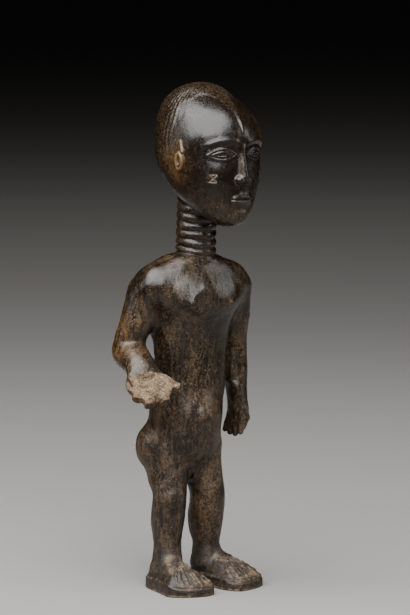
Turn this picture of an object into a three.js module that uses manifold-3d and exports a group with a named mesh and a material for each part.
// Standing figure carved from one block of wood, after a figure of the Abron people.
// Millimetres, +Z up. The figure faces -Y, its left side is +X, and it stands on z = 0.
// The origin is on the ground under the middle of the figure's box.
import * as THREE from "three";
import { mergeVertices } from "three/addons/utils/BufferGeometryUtils.js";
import Module from "manifold-3d";

const HEIGHT = 374;
const NECK_TOP = 303;
const NECK_FOOT = 244;
const HIP_LEVEL = 104;
const SOLE_THICKNESS = 9;

const LEG_OUT = 17;
const HEEL_OUT = 18.3;
const HEEL_BACK = 6.4;
const RIGHT_TOE_OUT = THREE.MathUtils.degToRad(2);
const LEFT_TOE_OUT = THREE.MathUtils.degToRad(15);
const NECK_FORWARD = 6.8;
const NECK_RINGS = 9;
const NECK_RADIUS = 15.1;
const NECK_GROOVE = 1.4;
const NECK_LEAN = THREE.MathUtils.degToRad(3);
const RING_DIP = THREE.MathUtils.degToRad(8);
const HEAD_FORWARD = 24;
const HEAD_TURN = THREE.MathUtils.degToRad(5);

const X = new THREE.Vector3(1, 0, 0);
const Z = new THREE.Vector3(0, 0, 1);
const WOOD = new THREE.MeshStandardMaterial({ color: 0x3a2c22, roughness: 0.45, metalness: 0 });

const wasm = await Module();
wasm.setup();

// Footprints of the two sandals. A width holds its place along the foot, the inner and the outer
// edge there, and how high the instep rises above the sole.
const RIGHT_PRINT = {
  tip: -8,
  edge: [
    [-11.4, 2],
    [-8.6, 9.2],
    [1.5, 12],
    [11, 9],
    [14, 2],
    [15, -11],
    [16.4, -24],
    [16.9, -31],
    [14.2, -35.6],
    [8.5, -40],
    [-1.8, -44.4],
    [-10, -44.9],
    [-16.4, -42.2],
    [-17.8, -37],
    [-15.2, -24],
    [-12.4, -8],
  ],
  widths: [
    [8, -9, 11.5, 11],
    [1, -11.4, 14, 17],
    [-8, -12.4, 14.8, 17.6],
    [-18, -14.2, 15.8, 14],
    [-28, -15.8, 16.6, 9.8],
    [-36, -17.4, 14, 6.2],
    [-41, -16.8, 6, 3.8],
  ],
};
const LEFT_PRINT = {
  tip: 0,
  edge: [
    [-11.4, 2],
    [-8.6, 9.2],
    [1.5, 12],
    [11, 9],
    [14.5, 2],
    [16, -11],
    [17.6, -24],
    [18.4, -33],
    [17.8, -39.5],
    [13.6, -43.8],
    [3.4, -46],
    [-8, -45.6],
    [-13.4, -42.4],
    [-16, -34],
    [-15, -21],
    [-12.4, -8],
  ],
  widths: [
    [8, -9, 11.5, 11],
    [1, -11.4, 14.5, 17],
    [-8, -12.4, 15.7, 17.6],
    [-18, -14.4, 16.8, 14],
    [-28, -15.6, 17.8, 9.8],
    [-36, -15.4, 18.2, 6.2],
    [-41.5, -13.8, 16.2, 3.8],
  ],
};

// A closed three.js geometry as a solid that can be joined and cut.
function solid(geometry) {
  const bare = geometry.clone();
  bare.deleteAttribute("normal");
  bare.deleteAttribute("uv");
  const merged = mergeVertices(bare, 1e-3);
  return new wasm.Manifold(
    new wasm.Mesh({
      numProp: 3,
      vertProperties: new Float32Array(merged.attributes.position.array),
      triVerts: new Uint32Array(merged.index.array),
    }),
  );
}

// One signed coordinate of a superellipse: 2 is an ellipse, more is squarer.
function squared(value, power) {
  return Math.sign(value) * Math.abs(value) ** (2 / power);
}

// A closed skin over sections strung on a smooth spine. Each section holds its place, its half
// width along X, and how far it reaches to its front and to its back. The first and the last
// section are the points that close the ends. An upright body has level sections, and those of
// a limb turn with its spine.
function loft(sections, { upright = false, around = 16, steps = 1, power = 2 } = {}) {
  const places = new THREE.CatmullRomCurve3(sections.map((s) => s.place), false, "catmullrom", 0.5);
  const reaches = sections.map((s) => new THREE.Vector3(s.half, s.front, s.back));
  const sizes = new THREE.CatmullRomCurve3(reaches, false, "catmullrom", 0.5);
  const rows = (sections.length - 1) * steps;
  const skin = new THREE.SphereGeometry(1, around, rows);
  const position = skin.attributes.position;
  for (let row = 0; row <= rows; row += 1) {
    const t = row / rows;
    const centre = places.getPoint(t);
    const travel = upright ? Z : places.getTangent(t);
    const side = X.clone().addScaledVector(travel, -X.dot(travel)).normalize();
    const front = side.clone().cross(travel);
    const size = sizes.getPoint(t);
    const isEnd = row === 0 || row === rows;
    for (let column = 0; column <= around; column += 1) {
      const angle = ((column % around) / around) * 2 * Math.PI;
      const reach = Math.sin(angle) > 0 ? size.y : size.z;
      const point = centre.clone();
      if (!isEnd) {
        point.addScaledVector(side, Math.max(size.x, 0.2) * squared(Math.cos(angle), power));
        point.addScaledVector(front, Math.max(reach, 0.2) * squared(Math.sin(angle), power));
      }
      position.setXYZ(row * (around + 1) + column, point.x, point.y, point.z);
    }
  }
  return skin;
}

// A level section of an upright body: its height, half width, front and back in Y, and middle.
function level(z, half, front, back, x = 0) {
  const middle = (front + back) / 2;
  const deep = (back - front) / 2;
  return { place: new THREE.Vector3(x, middle, z), half, front: deep, back: deep };
}

// A round section of a limb.
function round(x, y, z, half, deep = half) {
  return { place: new THREE.Vector3(x, y, z), half, front: deep, back: deep };
}

function ball(x, y, z, rx, ry = rx, rz = rx, around = 14, rows = 10) {
  const shape = new THREE.SphereGeometry(1, around, rows);
  return shape.scale(rx, ry, rz).translate(x, y, z);
}

// The shape, made along Y, is turned and set between two points.
function spanning(shape, from, to) {
  const line = to.clone().sub(from).normalize();
  const turn = new THREE.Quaternion().setFromUnitVectors(new THREE.Vector3(0, 1, 0), line);
  const middle = from.clone().add(to).multiplyScalar(0.5);
  return shape.applyQuaternion(turn).translate(middle.x, middle.y, middle.z);
}

// A bar with round ends.
function bar(from, to, radius, around = 6) {
  return spanning(new THREE.CapsuleGeometry(radius, from.distanceTo(to), 2, around, 1), from, to);
}

// A bar with flat ends.
function peg(from, to, radius, around = 10) {
  return spanning(new THREE.CylinderGeometry(radius, radius, from.distanceTo(to), around), from, to);
}

// A flat outline with a smooth edge through the given points.
function outline(knots, pieces) {
  const points = knots.map(([x, y]) => new THREE.Vector3(x, y, 0));
  const edge = new THREE.CatmullRomCurve3(points, true, "catmullrom", 0.5).getPoints(pieces);
  edge.pop();
  return new THREE.Shape(edge.map((point) => new THREE.Vector2(point.x, point.y)));
}

function joined(shapes) {
  return shapes.map(solid).reduce((whole, piece) => whole.add(piece));
}

function mirrored(sections) {
  return sections.map((s) => ({
    ...s,
    place: new THREE.Vector3(-s.place.x, s.place.y, s.place.z),
  }));
}

function trunk() {
  const body = loft(
    [
      level(77, 0, 5, 11),
      level(80, 16, 1, 22),
      level(87, 25, -5, 29),
      level(95, 26.8, -11.5, 31),
      level(105, 26.8, -16.4, 31.6),
      level(114, 26.8, -18.4, 31, -0.6),
      level(124, 26.8, -20.4, 29.6, -1),
      level(131, 26.9, -20.6, 28, -1),
      level(138, 27, -19.4, 23.6, -0.6),
      level(146, 27.4, -18.2, 19.6),
      level(160, 28, -18.2, 17.5),
      level(178, 29.2, -18.4, 17.5),
      level(192, 31.2, -20.4, 18.6),
      level(203, 34, -24.6, 19.8),
      level(213, 37.5, -30, 20),
      level(222, 41, -29.2, 19.8, -0.2),
      level(229, 43.2, -27, 19.2, -0.4),
      level(234, 43, -24.8, 18, -0.8),
      level(238, 40.4, -23.2, 16.4, -1.4),
      level(242, 35, -22, 14.2, -2),
      level(246, 25, -20.6, 11.4, -2.8),
      level(249, 17, -17.4, 6.6, -2.6),
      level(251.6, 0, -8, -7),
    ],
    { upright: true, around: 24, power: 2.3 },
  );
  const shapes = [body];
  for (const side of [-1, 1])
    shapes.push(ball(side * 15.4, 15.2, HIP_LEVEL, 18.6, 20.6, 20.5, 16, 10));
  shapes.push(ball(0, -21, 130, 4.2, 4, 4, 10, 6));
  return joined(shapes);
}

// The neck is a stack of rings, cut as one with the rest. It leans a little to the front, its
// rings dip to the front, and its top ends inside the head.
function neck() {
  const height = NECK_TOP - NECK_FOOT;
  const pitch = height / NECK_RINGS;
  const profile = [new THREE.Vector2(0, -6)];
  profile.push(new THREE.Vector2(NECK_RADIUS, -6));
  for (let ring = 0; ring < NECK_RINGS; ring += 1) {
    const foot = ring * pitch;
    const taper = Math.min(0.12 * ring, 0.8);
    profile.push(new THREE.Vector2(NECK_RADIUS - NECK_GROOVE - taper, foot));
    profile.push(new THREE.Vector2(NECK_RADIUS - taper, foot + pitch * 0.3));
    profile.push(new THREE.Vector2(NECK_RADIUS - taper, foot + pitch * 0.72));
  }
  profile.push(new THREE.Vector2(NECK_RADIUS - NECK_GROOVE - 1, height));
  profile.push(new THREE.Vector2(0, height + 2));
  const rings = new THREE.LatheGeometry(profile, 16);
  rings.rotateX(Math.PI / 2 + RING_DIP);
  const upright = Math.tan(RING_DIP) - Math.tan(NECK_LEAN);
  rings.applyMatrix4(new THREE.Matrix4().makeShear(0, 0, 0, 0, 0, upright));
  return solid(rings.translate(0.2, -NECK_FORWARD, NECK_FOOT));
}

// The head is an egg carried forward of the neck, with a plain carved face. It is shaped about
// its own middle, then turned a little to its left and set in place.
function head() {
  const egg = loft(
    [
      level(HEIGHT - 103, 0, -22, -20),
      level(HEIGHT - 100.3, 10, -32, -10.5),
      level(HEIGHT - 93, 18.5, -36.6, 2),
      level(HEIGHT - 83, 25.9, -37.8, 19),
      level(HEIGHT - 72, 31.6, -38, 29.4),
      level(HEIGHT - 62, 34.9, -38, 36.5),
      level(HEIGHT - 53, 36.6, -38, 39.6),
      level(HEIGHT - 44, 36.8, -38.8, 40),
      level(HEIGHT - 35.4, 35.8, -38.6, 40.2),
      level(HEIGHT - 26.5, 33.3, -34.6, 40.6),
      level(HEIGHT - 17.7, 28.4, -26.8, 39),
      level(HEIGHT - 8.9, 20.5, -13.4, 33),
      level(HEIGHT - 3, 12.2, -3, 23),
      level(HEIGHT, 0, 9, 11),
    ],
    { upright: true, around: 20, steps: 2 },
  );
  const shapes = [egg];
  const eyes = HEIGHT - 50.5;
  const nose = HEIGHT - 68.5;
  const mouth = HEIGHT - 82.5;
  shapes.push(bar(new THREE.Vector3(0, -36.8, eyes + 5), new THREE.Vector3(0, -39.6, nose + 2), 2.7));
  shapes.push(ball(0, -38.8, nose, 5.6, 4.4, 3.2, 10, 6));
  shapes.push(ball(0, -36, mouth + 1.8, 8.6, 3.4, 1.8, 10, 6));
  shapes.push(ball(0, -35.8, mouth - 2, 7.6, 3.4, 1.9, 10, 6));
  for (const side of [-1, 1]) {
    shapes.push(ball(side * 15.2, -31.6, eyes, 8.2, 4.4, 4, 10, 6));
    const inner = new THREE.Vector3(side * 4, -38, eyes + 9.6);
    const arch = new THREE.Vector3(side * 14, -35.2, eyes + 11.2);
    const outer = new THREE.Vector3(side * 25, -27.6, eyes + 8.4);
    shapes.push(bar(inner, arch, 1.2));
    shapes.push(bar(arch, outer, 1.2));
    const ear = new THREE.TorusGeometry(4.6, 1.6, 6, 12);
    ear.scale(0.72, 1.16, 1).rotateX(Math.PI / 2).rotateZ(Math.PI / 2);
    shapes.push(ear.translate(side * 34.8, -9.5, eyes - 4.6));
    for (const lean of [-1, 1]) {
      const foot = new THREE.Vector3(side * 35.2, -9.5 + 3.3 * lean, eyes + 2.4);
      const tip = new THREE.Vector3(side * 35.2, -9.5 + lean, eyes + 9.9);
      shapes.push(bar(foot, tip, 1));
    }
  }
  for (const shape of shapes) shape.rotateZ(HEAD_TURN).translate(0.5, -HEAD_FORWARD, 0);
  return joined(shapes);
}

// The right arm is bent, and its forearm runs forward and down to an open hand.
function rightArm() {
  const arm = loft(
    [
      round(-34, 1.2, 234, 0),
      round(-35, 1.6, 230.5, 9.5, 10),
      round(-36.6, 2.2, 222, 13.6, 14),
      round(-39.4, 3.2, 212, 13.5, 14),
      round(-42.9, 4.8, 202, 12.5, 13.1),
      round(-46.4, 9, 187, 11.6, 12.4),
      round(-47.8, 8.2, 177, 12, 12),
      round(-49.8, -2, 172.8, 11.7, 10.8),
      round(-52, -13, 170, 11.2, 9),
      round(-53, -20.4, 166.6, 11.6, 6.6),
      round(-53.2, -26, 162.5, 0),
    ],
  );
  return solid(arm);
}

// The open right hand lies palm up. It has its own axes: fingers point along `reach`, the
// little finger lies to `inward` and the back of the hand looks to `down`.
const reach = new THREE.Vector3(-0.05, -0.787, -0.616).normalize();
const inward = new THREE.Vector3(0.96, -0.2, 0.1);
inward.addScaledVector(reach, -inward.dot(reach)).normalize();
const down = inward.clone().cross(reach);
const WRIST = new THREE.Vector3(-53.1, -20.4, 168.1);

function inHand(sideways, along, below) {
  const point = WRIST.clone().addScaledVector(inward, sideways);
  return point.addScaledVector(reach, along).addScaledVector(down, below);
}

function rightHand() {
  const bevel = 1.6;
  const edge = outline(
    [
      [-9.5, -7],
      [-12.5, -2],
      [-15.6, 3],
      [-18.2, 8],
      [-18.9, 13],
      [-17.6, 18],
      [-14.6, 22.5],
      [-10.5, 26.6],
      [-4, 28.4],
      [3.5, 28.2],
      [9.5, 25],
      [13.6, 21],
      [17, 17],
      [17.6, 13.2],
      [15, 8.5],
      [12, 4],
      [9.8, 0],
      [9, -7],
    ],
    28,
  );
  const slab = new THREE.ExtrudeGeometry(edge, {
    depth: 7.4 - 2 * bevel,
    bevelThickness: bevel,
    bevelSize: bevel,
    bevelOffset: -bevel,
    bevelSegments: 1,
  });
  const turned = new THREE.Matrix4().makeBasis(inward, reach, down);
  turned.setPosition(inHand(0, 0, bevel - 0.5));
  const shapes = [slab.applyMatrix4(turned)];
  // Broken finger stubs, from the first finger to the little one.
  const stubs = [
    [-10.5, 15, -15.6, 22.8, 3.3],
    [-6.6, 21, -8.6, 31.2, 3.9],
    [3, 21, 3.8, 31.2, 4],
    [13, 14.5, 20.2, 20.8, 3.1],
  ];
  for (const [x0, y0, x1, y1, radius] of stubs)
    shapes.push(peg(inHand(x0, y0, 3.2), inHand(x1, y1, 3.4), radius));
  return joined(shapes);
}

// The left arm hangs, a little bent, beside the hip.
function leftArm() {
  const arm = loft(
    [
      round(37, 1.2, 234, 0),
      round(37.6, 1.3, 230.5, 9.8, 10.2),
      round(38.8, 1.6, 222, 13.9, 14.3),
      round(40.2, 2.4, 211, 13.6, 14.2),
      round(41.8, 3.4, 201, 12, 12.8),
      round(41.8, 5.6, 184, 10.8, 11.6),
      round(41.8, 5.2, 172, 10.6, 11.4),
      round(42, 3, 156, 9.4, 10.4),
      round(42.2, 1.2, 145, 7.6, 9),
      round(42.3, -0.3, 136, 5.6, 8.8),
      round(42.4, -0.7, 130, 5, 9.3),
      round(42.4, -0.7, 125, 4.5, 9.6),
      round(42.2, 0.1, 121, 3.8, 8.6),
      round(41.8, 1.4, 117, 3, 6.4),
      round(41.5, 2.2, 114, 0),
    ],
  );
  return solid(arm);
}

// The left hand's own axes: the thumb lies to `forward`, fingers point down and the back of the
// hand looks to `outward`.
const forward = new THREE.Vector3(0.301, -0.954, 0);
const outward = new THREE.Vector3(0.954, 0.301, 0);

function inLeftHand(ahead, above, out) {
  const point = new THREE.Vector3(42.3, -0.3, 136 + above);
  return point.addScaledVector(forward, ahead).addScaledVector(outward, out);
}

// Five fingers point down from the left hand, with the thumb to the front.
function leftFingers() {
  const fingers = [
    [-7.2, -11, 0.2, -11.8, -23.4, 0.6, 2.3],
    [-3.4, -12, 0.2, -6.9, -25.2, 0.3, 2.4],
    [0.6, -12, 0.2, -1.9, -25.6, 0, 2.5],
    [4.8, -11, 0, 3.2, -23.8, -0.2, 2.5],
    [6.6, 0, 1.6, 7.4, -15, 2.6, 2.5],
  ];
  return joined(
    fingers.map(([x0, y0, z0, x1, y1, z1, radius]) =>
      bar(inLeftHand(x0, y0, z0), inLeftHand(x1, y1, z1), radius),
    ),
  );
}

function leg(side) {
  const sections = [
    round(LEG_OUT - 1.6, 7.8, 107, 0),
    round(LEG_OUT - 1.6, 7.8, 102, 10, 14),
    round(LEG_OUT - 1.6, 7.8, 94, 13, 18.4),
    round(LEG_OUT - 1.2, 7.4, 87, 13.2, 18.2),
    round(LEG_OUT - 0.8, 6, 80, 13.3, 17),
    round(LEG_OUT - 0.2, 2.2, 70, 12.6, 13.4),
    round(LEG_OUT, 2.8, 60, 12.7, 13.2),
    round(LEG_OUT, 4.8, 50, 12.5, 13.5),
    round(LEG_OUT, 5, 39, 11, 12),
    round(LEG_OUT + 0.2, 4.6, 31, 10, 10.8),
    round(LEG_OUT + 0.6, 4.2, 22, 10.8, 12),
    round(LEG_OUT + 1, 4.4, 12, 11.6, 13.2),
    round(LEG_OUT + 1, 4.4, 5, 0),
  ];
  return solid(loft(side > 0 ? sections : mirrored(sections)));
}

// A foot in a sandal has its own axes: the heel at the origin, x to the outer side and the
// toes towards -Y. It is then turned out and set under its leg. Low ridges for the toes fan out
// from bars across the instep.
function foot(side, toeOut) {
  const print = side < 0 ? RIGHT_PRINT : LEFT_PRINT;
  const instep = loft(
    [
      { place: new THREE.Vector3(1.2, 12.6, SOLE_THICKNESS), half: 0, front: 0, back: 0 },
      ...print.widths.map(([y, inner, outer, rise]) => ({
        place: new THREE.Vector3((inner + outer) / 2, y, SOLE_THICKNESS - 0.6),
        half: (outer - inner) / 2 - 1,
        front: 4,
        back: rise,
      })),
      { place: new THREE.Vector3(print.tip, -45.5, SOLE_THICKNESS), half: 0, front: 0, back: 0 },
    ],
    { around: 16, power: 2.2 },
  );
  const shapes = [instep];
  for (let ridge = -2; ridge <= 2; ridge += 1) {
    const root = new THREE.Vector3(2.2 * ridge, -24.5, SOLE_THICKNESS + 10.6 - 0.6 * ridge ** 2);
    const middle = new THREE.Vector3(4.6 * ridge, -33, SOLE_THICKNESS + 7.2 - 0.8 * ridge ** 2);
    const tip = new THREE.Vector3(5.6 * ridge + print.tip / 3, -41, SOLE_THICKNESS + 2.6);
    shapes.push(peg(root, middle, 1, 6));
    shapes.push(peg(middle, tip, 1, 6));
  }
  for (const [y, half, rise] of [[-17.2, 3.4, 14], [-19.6, 4.2, 13], [-23, 6.4, 11.2]]) {
    const inner = new THREE.Vector3(-half, y, SOLE_THICKNESS + rise);
    const outer = new THREE.Vector3(half, y, SOLE_THICKNESS + rise);
    shapes.push(peg(inner, outer, 1, 6));
  }
  shapes.push(sole(print.edge));
  const stand = new THREE.Matrix4().makeRotationZ(toeOut);
  stand.setPosition(HEEL_OUT, HEEL_BACK, 0);
  if (side < 0) stand.premultiply(new THREE.Matrix4().makeScale(-1, 1, 1));
  for (const shape of shapes) {
    shape.applyMatrix4(stand);
    if (side < 0) turnFaces(shape);
  }
  const below = new THREE.BoxGeometry(200, 200, 20).translate(0, 0, -10);
  return joined(shapes).subtract(solid(below));
}

// A mirrored shape needs each triangle turned round.
function turnFaces(shape) {
  const index = shape.index;
  if (index) {
    for (let i = 0; i < index.count; i += 3) {
      const second = index.getX(i + 1);
      index.setX(i + 1, index.getX(i + 2));
      index.setX(i + 2, second);
    }
    return;
  }
  const position = shape.attributes.position;
  for (let i = 0; i < position.count; i += 3) {
    const second = new THREE.Vector3().fromBufferAttribute(position, i + 1);
    const third = new THREE.Vector3().fromBufferAttribute(position, i + 2);
    position.setXYZ(i + 1, third.x, third.y, third.z);
    position.setXYZ(i + 2, second.x, second.y, second.z);
  }
}

// The thick sandal sole: a footprint with a flat underside and a chamfered upper edge.
function sole(edge) {
  const chamfer = 1.8;
  return new THREE.ExtrudeGeometry(outline(edge, 28), {
    depth: SOLE_THICKNESS - chamfer,
    bevelThickness: chamfer,
    bevelSize: chamfer,
    bevelOffset: -chamfer,
    bevelSegments: 1,
  });
}

function asMesh(name, body) {
  const mesh = body.getMesh();
  const shape = new THREE.BufferGeometry();
  shape.setAttribute("position", new THREE.BufferAttribute(mesh.vertProperties, 3));
  shape.setIndex(new THREE.BufferAttribute(mesh.triVerts, 1));
  shape.computeVertexNormals();
  const made = new THREE.Mesh(shape, WOOD);
  made.name = name;
  return made;
}

const parts = [
  trunk(),
  neck(),
  head(),
  rightArm(),
  rightHand(),
  leftArm(),
  leftFingers(),
  leg(-1),
  leg(1),
  foot(-1, RIGHT_TOE_OUT),
  foot(1, LEFT_TOE_OUT),
];
const carving = parts.reduce((whole, piece) => whole.add(piece));

// The midline is off the middle of the box, because the bent arm reaches out to the right.
const mesh = asMesh("figure", carving);
mesh.geometry.computeBoundingBox();
const middle = mesh.geometry.boundingBox.getCenter(new THREE.Vector3());
mesh.position.set(-middle.x, -middle.y, 0);

const figure = new THREE.Group();
figure.add(mesh);

export default figure;
